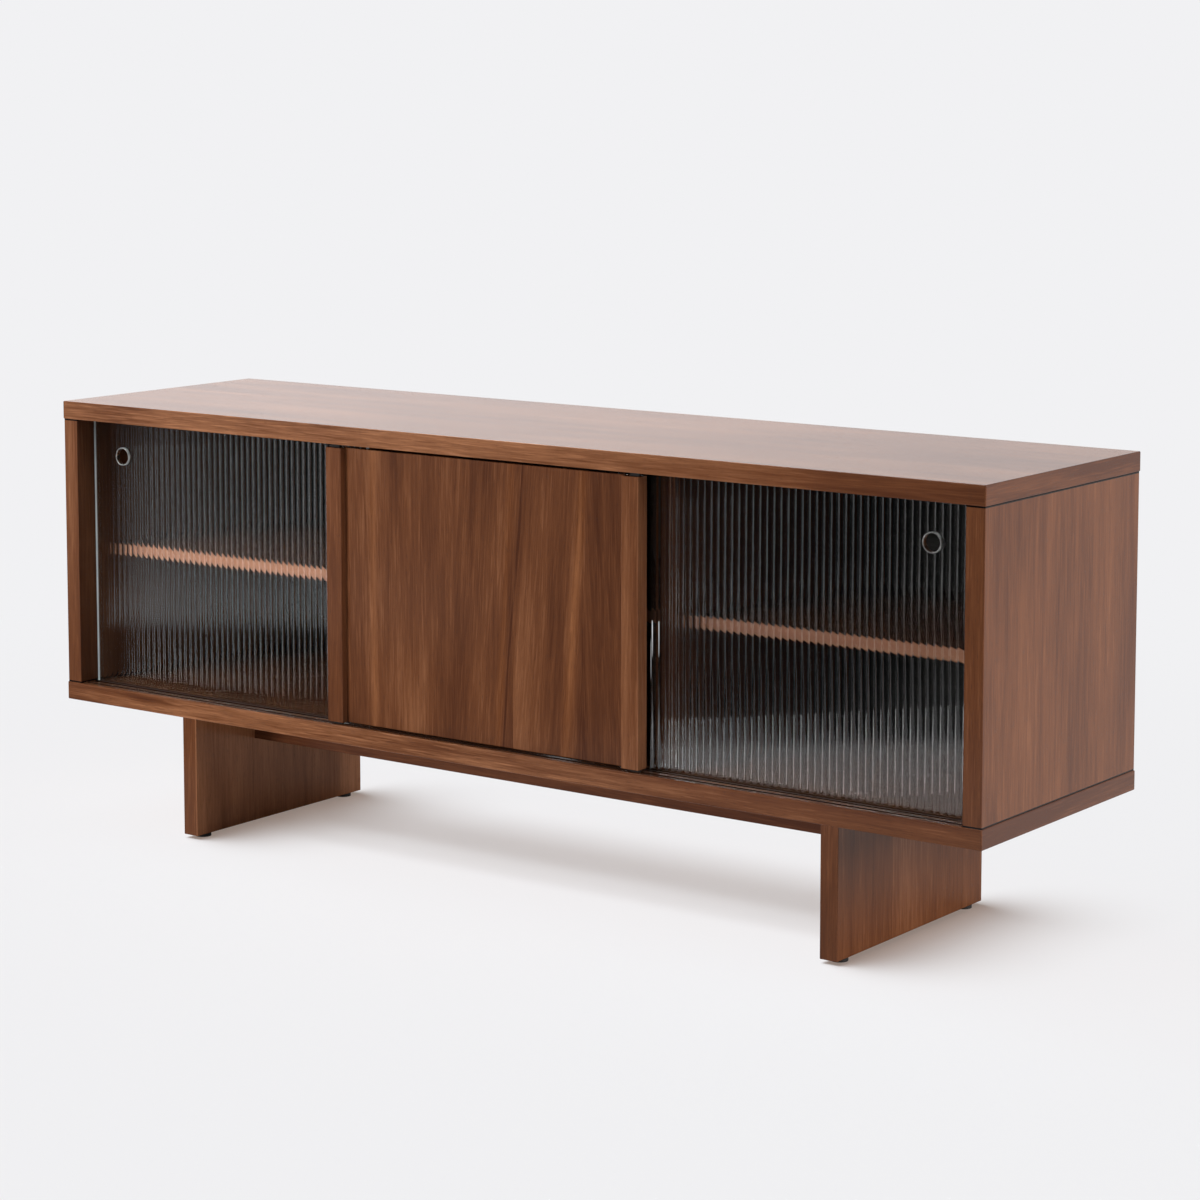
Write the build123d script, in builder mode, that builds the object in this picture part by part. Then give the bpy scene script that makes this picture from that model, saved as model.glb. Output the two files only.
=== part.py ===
"""Media cabinet: a long wooden box on two slab legs, closed by three sliding doors.

A wooden door runs in front of two fluted glass doors, each door in a channel of its own.
Millimetres. The origin is on the floor under the middle of the cabinet: +X runs to the right along
the front, +Y to the back and +Z up.
"""

import os

from build123d import *

os.makedirs("parts", exist_ok=True)

# Overall sizes
cabinet_length = 1480.0
cabinet_depth = 385.0
cabinet_height = 600.0

# Boards of the box
slab_thickness = 25.0
side_thickness = 25.0
divider_thickness = 25.0
shelf_thickness = 16.0
back_thickness = 8.0
centre_width = 506.0  # clear width between the dividers
side_reveal = 1.0  # the sides stand this far inside the slabs' edges
slab_arris = 1.5  # radius of the slabs' eased edges
board_arris = 1.0  # radius of every other board's eased edges
shelf_rise = 176.0  # from the box's floor to a shelf's underside
shelf_setback = 30.0  # from the dividers' front edge to a shelf's
shelf_play = 1.0

# Back panel in its rebate
rebate_width = 12.0
back_recess = 2.0
back_play = 0.5
cable_hole_radius = 30.0
cable_hole_rise = 70.0  # from the box's floor to the holes' centres
cable_hole_pitch = 300.0  # between the two holes, both in the middle compartment

# Legs and stretchers
foot_height = 5.0
foot_radius = 11.0
foot_inset = 25.0  # from a leg's end to the foot's centre
nail_radius = 2.0
nail_length = 15.0
leg_height = 170.0
leg_thickness = 25.0
leg_inset = 205.0  # from the slab's end to a leg's outer face
leg_setback = 18.5  # from the slab's front and back edges to a leg's
stretcher_height = 52.0
stretcher_thickness = 25.0
stretcher_pitch = 85.0  # between the middles of the two rails

# Wooden door
door_thickness = 19.0
door_setback = 1.5  # behind the slabs' front edge
door_lap = 0.5  # over each divider
door_bottom_gap = 3.5
door_top_gap = 4.5
pull_width = 26.0
panel_recess = 9.0  # behind the pulls' front face
tongue_thickness = 5.0
tongue_depth = 5.0
tongue_play = 0.1

# Glass doors
pane_thickness = 5.0  # over the ridges between the flutes
flute_pitch = 10.15
flute_depth = 1.2
pane_lap = 45.0  # behind the wooden door's edge
door_to_pane = 2.0
pane_gap = 5.0  # between the front pane and the rear one
pane_to_divider = 7.0
pane_engagement = 4.5  # into the upper track
stop_gap = 1.5  # from a closed door to the side

# Finger rings in the glass
ring_bore_radius = 11.3
ring_wall = 0.6
flange_lap = 0.7
flange_thickness = 0.8
ring_play = 0.1
ring_from_edge = 55.5  # from the pane's outer edge to the ring's centre
ring_from_ceiling = 51.0

# Tracks and what runs in them
lower_track_depth = 6.0
upper_track_depth = 10.0
track_wall = 1.2
track_end_gap = 0.5
pane_play = 0.8  # each side of a pane in its channel
running_gap = 0.1
glide_length = 40.0
glide_height = 1.8
glide_inset = 60.0  # from a pane's edge to a glide's middle
runner_length = 14.0
runner_width = 8.0
runner_mortise = 12.0
runner_tongue = 3.4
runner_play = 0.3
guide_engagement = 5.0  # of the door's top guides in the upper track
mortise_play = 0.1

# Dowels, pins, bolts and screws
dowel_radius = 4.0
dowel_length = 36.0
dowel_short_end = 14.0  # the part of a dowel in a slab or a leg
dowel_front_inset = 70.0  # from the slab's front edge to the first dowel
dowel_back_inset = 45.0
hole_play = 0.05
hole_end_gap = 1.0
pin_radius = 2.5
pin_in_board = 9.0
pin_out = 8.0
pin_inset = 40.0
bolt_radius = 3.0
bolt_head_radius = 6.0
bolt_length = 40.0
bolt_pitch = 120.0
bolt_play = 0.2
insert_radius = 4.5
insert_length = 15.0
csk_angle = 90.0
screw_radius = 2.0
screw_head_radius = 4.0
screw_head_height = 2.5
screw_length = 55.0
screw_pitch = 340.0
counterbore_radius = 5.0
counterbore_depth = 12.0
back_screw_radius = 1.5
back_screw_head_radius = 3.2
back_screw_length = 18.0
back_screws_along = 6
back_screws_up = 3
back_screw_inset = 60.0

# Levels and faces that follow from the sizes above
half_length = cabinet_length / 2
front_y = -cabinet_depth / 2
back_y = cabinet_depth / 2
base_z = foot_height + leg_height
floor_z = base_z + slab_thickness
ceiling_z = cabinet_height - slab_thickness
inner_half = half_length - side_reveal - side_thickness
side_x = inner_half + side_thickness / 2
divider_x = (centre_width + divider_thickness) / 2
back_front = back_y - back_recess - back_thickness

door_half = centre_width / 2 + door_lap
door_front = front_y + door_setback
door_back = door_front + door_thickness
door_middle = (door_front + door_back) / 2
door_bottom = floor_z + door_bottom_gap
door_top = ceiling_z - door_top_gap
panel_front = door_front + panel_recess
panel_middle = (panel_front + door_back) / 2
pull_x = door_half - pull_width / 2
runner_x = door_half - (pull_width - tongue_depth) / 2  # clear of the panel's tongue

front_pane_y = door_back + door_to_pane
rear_pane_y = front_pane_y + pane_thickness + pane_gap
pane_outer = inner_half - stop_gap
pane_inner = door_half - pane_lap
pane_width = pane_outer - pane_inner
lower_run_z = floor_z - lower_track_depth + track_wall + running_gap
pane_bottom = lower_run_z + glide_height
pane_top = ceiling_z + pane_engagement
flute_count = round(pane_width / flute_pitch)
ring_x = pane_outer - ring_from_edge
ring_z = ceiling_z - ring_from_ceiling
sleeve_radius = ring_bore_radius + ring_wall
flange_radius = sleeve_radius + flange_lap

divider_front = rear_pane_y + pane_thickness + pane_to_divider
shelf_front = divider_front + shelf_setback
shelf_bottom = floor_z + shelf_rise
shelf_depth = back_front - shelf_play - shelf_front
leg_x = half_length - leg_inset - leg_thickness / 2
leg_depth = cabinet_depth - 2 * leg_setback
stretcher_half = leg_x - leg_thickness / 2

track_length = 2 * (inner_half - track_end_gap)
glass_track_front = front_pane_y - pane_play - track_wall
glass_track_back = rear_pane_y + pane_thickness + pane_play + track_wall
glass_track_width = glass_track_back - glass_track_front
glass_track_middle = (glass_track_front + glass_track_back) / 2
glass_channel = pane_thickness + 2 * pane_play
door_channel = runner_tongue + 2 * runner_play
door_track_width = door_channel + 2 * track_wall

UP = (0, 0, 1)
DOWN = (0, 0, -1)
BACK = (0, 1, 0)
FRONT = (0, -1, 0)
BOTTOM_ALIGN = (Align.CENTER, Align.CENTER, Align.MIN)
TOP_ALIGN = (Align.CENTER, Align.CENTER, Align.MAX)
HANDS = (("left", -1), ("right", 1))

# Places shared by the holes and by what goes in them
dowel_ys = (
    front_y + dowel_front_inset,
    (front_y + dowel_front_inset + back_y - dowel_back_inset) / 2,
    back_y - dowel_back_inset,
)
upright_xs = (-side_x, -divider_x, divider_x, side_x)
upright_dowels = [(x, y) for x in upright_xs for y in dowel_ys]
dowel_long_end = dowel_length - dowel_short_end
bolt_ys = (-bolt_pitch, 0.0, bolt_pitch)
screw_xs = (-screw_pitch, 0.0, screw_pitch)
stretcher_ys = (-stretcher_pitch / 2, stretcher_pitch / 2)
stretcher_dowel_zs = (base_z - stretcher_height / 4, base_z - 3 * stretcher_height / 4)
pin_ys = (shelf_front + pin_inset, back_front - pin_inset)
pin_z = shelf_bottom - pin_radius - hole_play
back_rail_zs = (floor_z - rebate_width / 2, ceiling_z + rebate_width / 2)
back_side_x = inner_half + rebate_width / 2
back_screw_half = inner_half - back_screw_inset
back_screw_xs = [
    back_screw_half * (2 * i / (back_screws_along - 1) - 1) for i in range(back_screws_along)
]
back_screw_span = ceiling_z - floor_z - 2 * back_screw_inset
back_screw_zs = [
    floor_z + back_screw_inset + back_screw_span * i / (back_screws_up - 1)
    for i in range(back_screws_up)
]
back_screw_places = [(x, z) for x in back_screw_xs for z in back_rail_zs]
back_screw_places += [
    (x, z) for x in (-back_side_x, -divider_x, divider_x, back_side_x) for z in back_screw_zs
]
back_screw_grip = back_screw_length - back_thickness
back_face = back_front + back_thickness
cable_xs = (-cable_hole_pitch / 2, cable_hole_pitch / 2)
cable_z = floor_z + cable_hole_rise


def keep(piece, name):
    """Label a finished piece and write it out."""
    piece.part.label = name
    export_step(piece.part, f"parts/{name}.step")


def facing(points, direction):
    """Planes at the points, each looking out of a hole's mouth."""
    return [Plane(origin=point, z_dir=direction) for point in points]


def block(low, high, mode=Mode.ADD):
    """A box between two opposite corners."""
    size = Vector(high) - Vector(low)
    with Locations((Vector(low) + Vector(high)) / 2):
        return Box(size.X, size.Y, size.Z, mode=mode)


def dowel_holes(points, direction, depth):
    """Blind dowel holes, a little deeper than the dowels reach."""
    with Locations(facing(points, direction)):
        Hole(dowel_radius + hole_play, depth=depth + hole_end_gap)


def pilot_holes(points, direction, reach):
    """Holes for the back panel's screws, with their mouths on a board's edge."""
    with Locations(facing(points, direction)):
        Hole(back_screw_radius + hole_play, depth=reach + hole_end_gap)


# Top and bottom slabs, with grooves for the tracks and a rebate for the back panel
with BuildPart() as top_panel:
    with Locations((0, 0, ceiling_z)):
        Box(cabinet_length, cabinet_depth, slab_thickness, align=BOTTOM_ALIGN)
    fillet(top_panel.edges(), slab_arris)
    for groove_middle, groove_width in (
        (door_middle, door_track_width),
        (glass_track_middle, glass_track_width),
    ):
        with Locations((0, groove_middle, ceiling_z)):
            Box(2 * inner_half, groove_width, upper_track_depth, align=BOTTOM_ALIGN, mode=Mode.SUBTRACT)
    block(
        (-inner_half - rebate_width, back_front, ceiling_z),
        (inner_half + rebate_width, back_y, ceiling_z + rebate_width),
        Mode.SUBTRACT,
    )
    dowel_holes([(x, y, ceiling_z) for x, y in upright_dowels], DOWN, dowel_short_end)
    pilot_holes([(x, back_front, back_rail_zs[1]) for x in back_screw_xs], BACK, back_screw_grip)
keep(top_panel, "top_panel")

with BuildPart() as bottom_panel:
    with Locations((0, 0, floor_z)):
        Box(cabinet_length, cabinet_depth, slab_thickness, align=TOP_ALIGN)
    fillet(bottom_panel.edges(), slab_arris)
    for groove_middle, groove_width in (
        (door_middle, door_track_width),
        (glass_track_middle, glass_track_width),
    ):
        with Locations((0, groove_middle, floor_z)):
            Box(2 * inner_half, groove_width, lower_track_depth, align=TOP_ALIGN, mode=Mode.SUBTRACT)
    block(
        (-inner_half - rebate_width, back_front, floor_z - rebate_width),
        (inner_half + rebate_width, back_y, floor_z),
        Mode.SUBTRACT,
    )
    dowel_holes([(x, y, floor_z) for x, y in upright_dowels], UP, dowel_short_end)
    pilot_holes([(x, back_front, back_rail_zs[0]) for x in back_screw_xs], BACK, back_screw_grip)
    with Locations([(x, y, floor_z) for x in (-leg_x, leg_x) for y in bolt_ys]):
        CounterSinkHole(
            bolt_radius + bolt_play,
            bolt_head_radius + bolt_play,
            depth=slab_thickness,
            counter_sink_angle=csk_angle,
        )
    with Locations(facing([(x, y, base_z) for x in screw_xs for y in stretcher_ys], DOWN)):
        Hole(
            screw_radius + hole_play,
            depth=screw_length + counterbore_depth - stretcher_height + hole_end_gap,
        )
keep(bottom_panel, "bottom_panel")

# End boards, with an eased outer arris that leaves a fine groove at each slab
for hand, sign in HANDS:
    with BuildPart() as side_panel:
        block(
            (sign * side_x - side_thickness / 2, front_y + side_reveal, floor_z),
            (sign * side_x + side_thickness / 2, back_y - side_reveal, ceiling_z),
        )
        outer_face = side_panel.faces().sort_by(Axis.X)[0 if sign < 0 else -1]
        fillet(outer_face.edges(), board_arris)
        block(
            (min(sign * inner_half, sign * (inner_half + rebate_width)), back_front, floor_z),
            (max(sign * inner_half, sign * (inner_half + rebate_width)), back_y, ceiling_z),
            Mode.SUBTRACT,
        )
        dowel_holes([(sign * side_x, y, floor_z) for y in dowel_ys], DOWN, dowel_long_end)
        dowel_holes([(sign * side_x, y, ceiling_z) for y in dowel_ys], UP, dowel_long_end)
        pilot_holes(
            [(sign * back_side_x, back_front, z) for z in back_screw_zs], BACK, back_screw_grip
        )
        with Locations(facing([(sign * inner_half, y, pin_z) for y in pin_ys], (-sign, 0, 0))):
            Hole(pin_radius + hole_play, depth=pin_in_board + hole_end_gap)
    keep(side_panel, f"{hand}_side_panel")

# Uprights beside the middle compartment
for hand, sign in HANDS:
    with BuildPart() as divider:
        block(
            (sign * divider_x - divider_thickness / 2, divider_front, floor_z),
            (sign * divider_x + divider_thickness / 2, back_front, ceiling_z),
        )
        front_face = divider.faces().sort_by(Axis.Y)[0]
        fillet(front_face.edges().filter_by(Axis.Z), board_arris)
        dowel_holes([(sign * divider_x, y, floor_z) for y in dowel_ys], DOWN, dowel_long_end)
        dowel_holes([(sign * divider_x, y, ceiling_z) for y in dowel_ys], UP, dowel_long_end)
        pilot_holes(
            [(sign * divider_x, back_front, z) for z in back_screw_zs], BACK, back_screw_grip
        )
        for face_side in (-1, 1):
            face_x = sign * divider_x + face_side * divider_thickness / 2
            with Locations(facing([(face_x, y, pin_z) for y in pin_ys], (face_side, 0, 0))):
                Hole(pin_radius + hole_play, depth=pin_in_board + hole_end_gap)
    keep(divider, f"{hand}_divider")

# Back panel, screwed into the rebate and to the dividers
with BuildPart() as back_panel:
    block(
        (-inner_half - rebate_width + back_play, back_front, floor_z - rebate_width + back_play),
        (inner_half + rebate_width - back_play, back_face, ceiling_z + rebate_width - back_play),
    )
    with Locations(facing([(x, back_face, cable_z) for x in cable_xs], BACK)):
        Hole(cable_hole_radius, depth=back_thickness)
    with Locations(facing([(x, back_face, z) for x, z in back_screw_places], BACK)):
        CounterSinkHole(
            back_screw_radius + hole_play,
            back_screw_head_radius + hole_play,
            depth=back_thickness,
            counter_sink_angle=csk_angle,
        )
keep(back_panel, "back_panel")

with BuildPart() as back_panel_screws:
    with Locations(facing([(x, back_face, z) for x, z in back_screw_places], BACK)):
        Cylinder(back_screw_radius, back_screw_length, align=TOP_ALIGN)
        Cone(0.0, back_screw_head_radius, back_screw_head_radius, align=TOP_ALIGN)
keep(back_panel_screws, "back_panel_screws")

# Shelves and the pins under them
shelf_spans = {
    "left": (-inner_half, -divider_x - divider_thickness / 2),
    "centre": (-centre_width / 2, centre_width / 2),
    "right": (divider_x + divider_thickness / 2, inner_half),
}
for place, (start, end) in shelf_spans.items():
    with BuildPart() as shelf:
        block(
            (start + shelf_play, shelf_front, shelf_bottom),
            (end - shelf_play, shelf_front + shelf_depth, shelf_bottom + shelf_thickness),
        )
        front_face = shelf.faces().sort_by(Axis.Y)[0]
        fillet(front_face.edges().filter_by(Axis.X), board_arris)
    keep(shelf, f"{place}_shelf")

with BuildPart() as shelf_pins:
    for start, end in shelf_spans.values():
        for wall_x, inward in ((start, 1), (end, -1)):
            root_x = wall_x - inward * pin_in_board
            with Locations(facing([(root_x, y, pin_z) for y in pin_ys], (inward, 0, 0))):
                Cylinder(pin_radius, pin_in_board + pin_out, align=BOTTOM_ALIGN)
keep(shelf_pins, "shelf_pins")

# Dowels between the slabs and the uprights
with BuildPart() as carcase_dowels:
    with Locations([(x, y, floor_z - dowel_short_end) for x, y in upright_dowels]):
        Cylinder(dowel_radius, dowel_length, align=BOTTOM_ALIGN)
    with Locations([(x, y, ceiling_z + dowel_short_end) for x, y in upright_dowels]):
        Cylinder(dowel_radius, dowel_length, align=TOP_ALIGN)
keep(carcase_dowels, "carcase_dowels")

# Tracks: a double channel for the glass and a single one for the wooden door, below and above
for level, mouth_z, align, depth in (
    ("lower", floor_z, TOP_ALIGN, lower_track_depth),
    ("upper", ceiling_z, BOTTOM_ALIGN, upper_track_depth),
):
    with BuildPart() as glass_track:
        with Locations((0, glass_track_middle, mouth_z)):
            Box(track_length, glass_track_width, depth, align=align)
        for pane_y in (front_pane_y, rear_pane_y):
            with Locations((0, pane_y + pane_thickness / 2, mouth_z)):
                Box(track_length, glass_channel, depth - track_wall, align=align, mode=Mode.SUBTRACT)
    keep(glass_track, f"{level}_glass_track")

    with BuildPart() as door_track:
        with Locations((0, door_middle, mouth_z)):
            Box(track_length, door_track_width, depth, align=align)
            Box(track_length, door_channel, depth - track_wall, align=align, mode=Mode.SUBTRACT)
    keep(door_track, f"{level}_door_track")

# Wooden door: a panel held by its tongues between two thicker uprights that serve as pulls
with BuildPart() as door_panel:
    panel_half = door_half - pull_width
    block((-panel_half, panel_front, door_bottom), (panel_half, door_back, door_top))
    end_edges = door_panel.edges().filter_by(Axis.X)
    fillet(end_edges, board_arris)
    block(
        (-panel_half - tongue_depth, panel_middle - tongue_thickness / 2, door_bottom + board_arris),
        (panel_half + tongue_depth, panel_middle + tongue_thickness / 2, door_top - board_arris),
    )
keep(door_panel, "door_panel")

for hand, sign in HANDS:
    with BuildPart() as door_pull:
        block(
            (sign * pull_x - pull_width / 2, door_front, door_bottom),
            (sign * pull_x + pull_width / 2, door_back, door_top),
        )
        fillet(door_pull.edges(), board_arris)
        slot_x = sign * (door_half - pull_width)
        slot_end_x = slot_x + sign * (tongue_depth + tongue_play)
        slot_half = tongue_thickness / 2 + tongue_play
        block(
            (min(slot_x, slot_end_x), panel_middle - slot_half, door_bottom),
            (max(slot_x, slot_end_x), panel_middle + slot_half, door_top),
            Mode.SUBTRACT,
        )
        for end_z, align in ((door_bottom, BOTTOM_ALIGN), (door_top, TOP_ALIGN)):
            with Locations((sign * runner_x, door_middle, end_z)):
                Box(
                    runner_length + 2 * mortise_play,
                    runner_width + 2 * mortise_play,
                    runner_mortise + mortise_play,
                    align=align,
                    mode=Mode.SUBTRACT,
                )
    keep(door_pull, f"door_{hand}_pull")

with BuildPart() as door_bottom_glides:
    with Locations((-runner_x, door_middle, door_bottom), (runner_x, door_middle, door_bottom)):
        Box(runner_length, runner_width, runner_mortise, align=BOTTOM_ALIGN)
        Box(runner_length, runner_tongue, door_bottom - lower_run_z, align=TOP_ALIGN)
keep(door_bottom_glides, "door_bottom_glides")

with BuildPart() as door_top_guides:
    with Locations((-runner_x, door_middle, door_top), (runner_x, door_middle, door_top)):
        Box(runner_length, runner_width, runner_mortise, align=TOP_ALIGN)
        Box(runner_length, runner_tongue, door_top_gap + guide_engagement, align=BOTTOM_ALIGN)
keep(door_top_guides, "door_top_guides")

# Glass doors: the right pane runs in the front channel and the left one in the rear channel
for hand, sign, pane_y in (("left", -1, rear_pane_y), ("right", 1, front_pane_y)):
    pane_start = min(sign * pane_inner, sign * pane_outer)
    pane_back = pane_y + pane_thickness
    flute_step = pane_width / flute_count
    flute_bed_y = pane_y + flute_depth

    with BuildPart() as pane:
        with BuildSketch(Plane.XY.offset(pane_bottom)):
            with BuildLine():
                for i in range(flute_count):
                    ridge_x = pane_start + i * flute_step
                    ThreePointArc(
                        (ridge_x, pane_y),
                        (ridge_x + flute_step / 2, flute_bed_y),
                        (ridge_x + flute_step, pane_y),
                    )
                Polyline(
                    (pane_start, pane_y),
                    (pane_start, pane_back),
                    (pane_start + pane_width, pane_back),
                    (pane_start + pane_width, pane_y),
                )
            make_face()
        extrude(amount=pane_top - pane_bottom)
        with Locations(Plane(origin=(sign * ring_x, pane_y, ring_z), z_dir=FRONT)):
            Hole(sleeve_radius + ring_play, depth=pane_thickness)
    keep(pane, f"{hand}_glass_pane")

    with BuildPart() as finger_ring:
        with Locations(Plane(origin=(sign * ring_x, pane_y, ring_z), z_dir=FRONT)):
            Cylinder(flange_radius, flange_thickness, align=BOTTOM_ALIGN)
        rim = finger_ring.faces().sort_by(Axis.Y)[0].edges()
        fillet(rim, flange_thickness / 2)
        with Locations(Plane(origin=(sign * ring_x, pane_back + flange_thickness, ring_z), z_dir=FRONT)):
            sleeve_length = pane_thickness + flange_thickness
            Cylinder(sleeve_radius, sleeve_length, align=BOTTOM_ALIGN)
            Cylinder(
                ring_bore_radius,
                sleeve_length + flange_thickness,
                align=BOTTOM_ALIGN,
                mode=Mode.SUBTRACT,
            )
    keep(finger_ring, f"{hand}_finger_ring")

    with BuildPart() as ring_backing:
        with Locations(Plane(origin=(sign * ring_x, pane_back, ring_z), z_dir=BACK)):
            Cylinder(flange_radius, flange_thickness, align=BOTTOM_ALIGN)
            Cylinder(
                sleeve_radius + hole_play, flange_thickness, align=BOTTOM_ALIGN, mode=Mode.SUBTRACT
            )
    keep(ring_backing, f"{hand}_ring_backing")

    with BuildPart() as glass_glides:
        glide_width = pane_back - flute_bed_y
        glide_y = (pane_back + flute_bed_y) / 2
        with Locations(
            (sign * (pane_inner + glide_inset), glide_y, pane_bottom),
            (sign * (pane_outer - glide_inset), glide_y, pane_bottom),
        ):
            Box(glide_length, glide_width, glide_height, align=TOP_ALIGN)
    keep(glass_glides, f"{hand}_glass_glides")

# Slab legs, bolted up to the bottom slab through brass inserts
for hand, sign in HANDS:
    with BuildPart() as leg:
        with Locations((sign * leg_x, 0, foot_height)):
            Box(leg_thickness, leg_depth, leg_height, align=BOTTOM_ALIGN)
        top_edges = leg.faces().sort_by(Axis.Z)[-1].edges()
        fillet(leg.edges() - top_edges, board_arris)
        with Locations(facing([(sign * leg_x, y, base_z) for y in bolt_ys], UP)):
            Hole(insert_radius + hole_play, depth=insert_length)
            Hole(bolt_radius + bolt_play, depth=bolt_length - slab_thickness + hole_end_gap)
        inner_x = sign * stretcher_half
        dowel_holes(
            [(inner_x, y, z) for y in stretcher_ys for z in stretcher_dowel_zs],
            (-sign, 0, 0),
            dowel_short_end,
        )
        foot_y = leg_depth / 2 - foot_inset
        with Locations(facing([(sign * leg_x, y, foot_height) for y in (-foot_y, foot_y)], DOWN)):
            Hole(nail_radius + hole_play, depth=nail_length + hole_end_gap)
    keep(leg, f"{hand}_leg")

with BuildPart() as leg_inserts:
    with Locations([(x, y, base_z) for x in (-leg_x, leg_x) for y in bolt_ys]):
        Cylinder(insert_radius, insert_length, align=TOP_ALIGN)
        Cylinder(bolt_radius + hole_play, insert_length, align=TOP_ALIGN, mode=Mode.SUBTRACT)
keep(leg_inserts, "leg_inserts")

with BuildPart() as leg_bolts:
    with Locations([(x, y, floor_z) for x in (-leg_x, leg_x) for y in bolt_ys]):
        Cylinder(bolt_radius, bolt_length, align=TOP_ALIGN)
        Cone(0.0, bolt_head_radius, bolt_head_radius, align=TOP_ALIGN)
keep(leg_bolts, "leg_bolts")

with BuildPart() as foot_glides:
    with Locations([(x, y, foot_height) for x in (-leg_x, leg_x) for y in (-foot_y, foot_y)]):
        Cylinder(foot_radius, foot_height, align=TOP_ALIGN)
        Cylinder(nail_radius, nail_length, align=BOTTOM_ALIGN)
keep(foot_glides, "foot_glides")

# Rails between the legs, screwed up to the bottom slab and dowelled to the legs
for place, rail_y in zip(("front", "rear"), stretcher_ys):
    with BuildPart() as stretcher:
        with Locations((0, rail_y, base_z)):
            Box(2 * stretcher_half, stretcher_thickness, stretcher_height, align=TOP_ALIGN)
        low_edges = stretcher.faces().sort_by(Axis.Z)[0].edges().filter_by(Axis.X)
        fillet(low_edges, board_arris)
        for sign in (-1, 1):
            dowel_holes(
                [(sign * stretcher_half, rail_y, z) for z in stretcher_dowel_zs],
                (sign, 0, 0),
                dowel_long_end,
            )
        with Locations(facing([(x, rail_y, base_z - stretcher_height) for x in screw_xs], DOWN)):
            CounterBoreHole(
                screw_radius + hole_play, counterbore_radius, counterbore_depth, depth=stretcher_height
            )
    keep(stretcher, f"{place}_stretcher")

with BuildPart() as stretcher_screws:
    seat_z = base_z - stretcher_height + counterbore_depth
    with Locations([(x, y, seat_z) for x in screw_xs for y in stretcher_ys]):
        Cylinder(screw_radius, screw_length, align=BOTTOM_ALIGN)
        Cylinder(screw_head_radius, screw_head_height, align=TOP_ALIGN)
keep(stretcher_screws, "stretcher_screws")

with BuildPart() as stretcher_dowels:
    for sign in (-1, 1):
        root_x = sign * (stretcher_half + dowel_short_end)
        points = [(root_x, y, z) for y in stretcher_ys for z in stretcher_dowel_zs]
        with Locations(facing(points, (-sign, 0, 0))):
            Cylinder(dowel_radius, dowel_length, align=BOTTOM_ALIGN)
keep(stretcher_dowels, "stretcher_dowels")
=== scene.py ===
"""Finish of a walnut media cabinet: boards, veneered door, fluted glass doors, fittings and a studio.

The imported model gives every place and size. Metres, +X to the right along the front, +Y to the back
and +Z up.
"""

import math

import bmesh
import bpy
from bpy.props import FloatProperty, FloatVectorProperty, IntProperty, PointerProperty
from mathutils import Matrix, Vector


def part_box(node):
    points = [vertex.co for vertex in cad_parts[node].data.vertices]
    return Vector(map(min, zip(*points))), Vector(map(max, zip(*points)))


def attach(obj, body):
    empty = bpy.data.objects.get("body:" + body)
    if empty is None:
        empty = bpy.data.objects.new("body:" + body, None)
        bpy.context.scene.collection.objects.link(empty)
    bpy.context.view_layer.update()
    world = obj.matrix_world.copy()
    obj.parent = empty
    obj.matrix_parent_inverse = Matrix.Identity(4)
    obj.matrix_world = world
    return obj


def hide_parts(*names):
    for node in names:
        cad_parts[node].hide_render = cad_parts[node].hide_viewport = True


bl_info = {
    "name": "Walnut Media Cabinet",
    "version": (1, 0, 0),
    "blender": (4, 5, 0),
    "location": "View3D > Sidebar > Cabinet",
    "description": "Finishes a media cabinet with walnut boards and fluted glass sliding doors",
    "category": "Object",
}

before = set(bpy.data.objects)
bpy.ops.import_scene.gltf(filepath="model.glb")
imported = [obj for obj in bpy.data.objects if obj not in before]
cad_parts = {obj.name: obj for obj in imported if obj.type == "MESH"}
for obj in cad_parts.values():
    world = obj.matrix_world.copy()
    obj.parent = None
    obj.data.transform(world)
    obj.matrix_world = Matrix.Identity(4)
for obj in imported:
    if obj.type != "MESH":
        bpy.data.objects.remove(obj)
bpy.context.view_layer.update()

HANDS = ("left", "right")
BLACK = (0.0, 0.0, 0.0)
WHITE = (1.0, 1.0, 1.0)
EVEN = (1.0, 1.0, 1.0)
NOISE_MEAN = 0.5
MERGE_DISTANCE = 1e-6

# Boards: the axis that the grain follows, and the board's tone
BOARDS = {
    "top_panel": ("X", 0.24),
    "bottom_panel": ("X", 0.18),
    "left_side_panel": ("Z", 0.09),
    "right_side_panel": ("Z", -0.04),
    "left_divider": ("Z", -0.2),
    "right_divider": ("Z", -0.2),
    "left_shelf": ("X", 0.1),
    "centre_shelf": ("X", 0.1),
    "right_shelf": ("X", 0.1),
    "left_leg": ("Z", -0.06),
    "right_leg": ("Z", -0.16),
    "front_stretcher": ("X", -0.3),
    "rear_stretcher": ("X", -0.1),
}
# How far apart in the tree the boards are cut, board by board, and where the first pull is cut
BOARD_STEP = (1.7, 0.9, 2.3)
PULL_PLACE = (0.31, 5.2, 0.4)
# Slabs: the tone along the front edge as (X, tone) pairs, which holds painted light as well as the wood's
# tone, paler at the left where the light falls stronger, and the tone of the ends, darkened as painted shade
SLAB_EDGE_TONES_AND_LIGHT = {
    "top_panel": ((-0.72, 0.15), (-0.54, 0.54), (-0.1, 0.67), (0.2, 0.28), (0.38, 0.38), (0.62, -0.29)),
    "bottom_panel": ((-0.7, -0.3), (-0.52, 0.22), (-0.32, 0.43), (-0.1, 0.43), (0.1, 0.22), (0.6, -0.1)),
}
SLAB_END_SHADE = -0.38
EDGE_THICKNESS = 0.002
# How much stronger the grain is at the left of the slabs' front edges, and where along X it calms down
EDGE_FIGURE = 1.1
EDGE_CALM = (0.0, 0.4)
# Boards whose right face is painted lighter or darker than the rest, and by how much: painted light on the
# legs and the right pull, painted shade on the right side panel, for how the light falls there
RIGHT_FACE_PAINTED_LIGHT = {"left_leg": 0.5, "right_leg": 0.12, "right_side_panel": -0.12, "door_right_pull": 0.2}
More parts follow.
